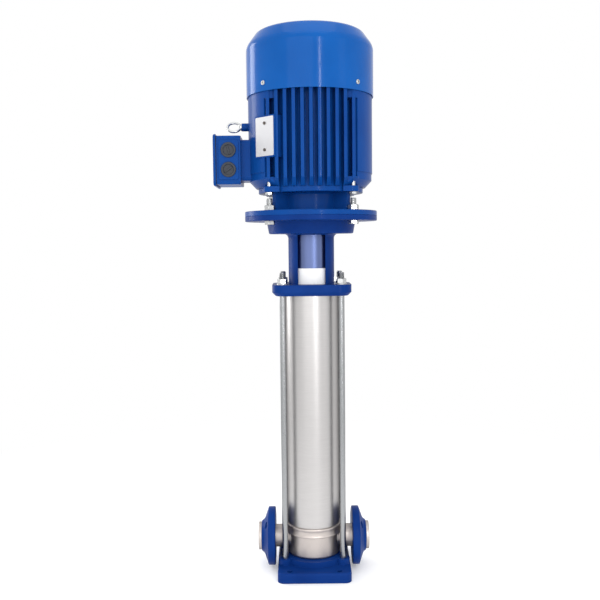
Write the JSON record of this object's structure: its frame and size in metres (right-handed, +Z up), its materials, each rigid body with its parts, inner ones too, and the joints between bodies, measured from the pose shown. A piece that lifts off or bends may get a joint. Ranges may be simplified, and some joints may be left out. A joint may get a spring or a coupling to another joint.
{
  "type": "vertical multistage pump",
  "caption": "Tall inline centrifugal pump: stainless sleeve with a stack of impellers on a flanged foot, blue head and coupling stool, finned flange motor on top.",
  "frame": {"origin": "centre of the base plate's underside, on the shaft's axis", "axes": "+Z up along the shaft, +X towards the outlet port, -Y towards the side seen in the picture"},
  "size_m": [0.427, 0.35, 1.43],
  "materials": {
    "cast_blue": "smooth paint over cast iron",
    "motor_blue": "semi-gloss paint",
    "stainless": "fine brushed",
    "stainless_cast": "bead blasted",
    "zinc": "bright zinc",
    "shaft_steel": "ground",
    "core_steel": "oiled laminations",
    "copper": "varnished wire",
    "rubber": "matt",
    "plastic_black": "matt",
    "plastic_white": "matt",
    "carbon": "lapped carbon",
    "plate_aluminium": "satin"
  },
  "bodies": {
    "pump": {"base_plate": "cast_blue", "cable_entry_plugs": "plastic_black", "cowl_grille": "motor_blue", "cowl_screws": "zinc", "drain_plug": "stainless", "drive_bearing_outer_ring": "shaft_steel", "drive_end_bolts": "zinc", "drive_end_shield": "motor_blue", "fan_bearing_outer_ring": "shaft_steel", "fan_cowl": "motor_blue", "fan_end_bolts": "zinc", "fan_end_shield": "motor_blue", "flange_bolts": "zinc", "flange_nuts": "zinc", "foot_bearing": "carbon", "guard_front": "stainless", "guard_rear": "stainless", "label_plate": "plastic_white", "lid_gasket": "rubber", "lid_screws": "zinc", "lifting_eye": "zinc", "motor_frame": "motor_blue", "nameplate": "plate_aluminium", "nameplate_rivets": "plate_aluminium", "outer_sleeve": "stainless", "port_casing": "stainless_cast", "pump_head": "cast_blue", "seal_cover": "stainless", "seal_cover_screws": "zinc", "seal_seat": "carbon", "shield_plug": "zinc", "sleeve_o_rings": "rubber", "stack_retainer": "stainless", "stage_chambers": "stainless", "stator_core": "core_steel", "stator_windings": "copper", "stay_bolt_nuts": "zinc", "stay_bolt_washers": "zinc", "stay_bolts": "zinc", "suction_cup": "stainless", "terminal_block": "plastic_black", "terminal_box": "motor_blue", "terminal_box_lid": "motor_blue", "vent_plug": "stainless"},
    "rotor": {"cooling_fan": "plastic_black", "coupling_half_front": "stainless_cast", "coupling_half_rear": "stainless_cast", "coupling_screws": "zinc", "drive_bearing_inner_ring": "shaft_steel", "fan_bearing_inner_ring": "shaft_steel", "impeller_spacers": "stainless", "impellers": "stainless", "motor_shaft": "shaft_steel", "pump_shaft": "shaft_steel", "rotor_core": "core_steel", "seal_rotor": "stainless"},
    "inlet_ring": {"inlet_flange": "cast_blue"},
    "outlet_ring": {"outlet_flange": "cast_blue"},
    "drive_bearing_balls_set": {"drive_bearing_balls": "shaft_steel"},
    "fan_bearing_balls_set": {"fan_bearing_balls": "shaft_steel"}
  },
  "joints": [
    {"name": "shaft_spin", "type": "hinge", "parent": "pump", "child": "rotor", "pos_m": [0, 0, 0.8], "axis": [0, 0, 1], "continuous": true},
    {"name": "inlet_flange_turn", "type": "hinge", "parent": "pump", "child": "inlet_ring", "pos_m": [-0.1228, 0, 0.084], "axis": [1, 0, 0], "continuous": true},
    {"name": "outlet_flange_turn", "type": "hinge", "parent": "pump", "child": "outlet_ring", "pos_m": [0.1228, 0, 0.084], "axis": [1, 0, 0], "continuous": true},
    {"name": "drive_bearing_roll", "type": "hinge", "parent": "pump", "child": "drive_bearing_balls_set", "pos_m": [0, 0, 1], "axis": [0, 0, 1], "continuous": true},
    {"name": "fan_bearing_roll", "type": "hinge", "parent": "pump", "child": "fan_bearing_balls_set", "pos_m": [0, 0, 1], "axis": [0, 0, 1], "continuous": true}
  ],
  "couplings": [
    {"joint": "drive_bearing_roll", "follows": "shaft_spin", "ratio": 0.4207},
    {"joint": "fan_bearing_roll", "follows": "shaft_spin", "ratio": 0.4207}
  ]
}
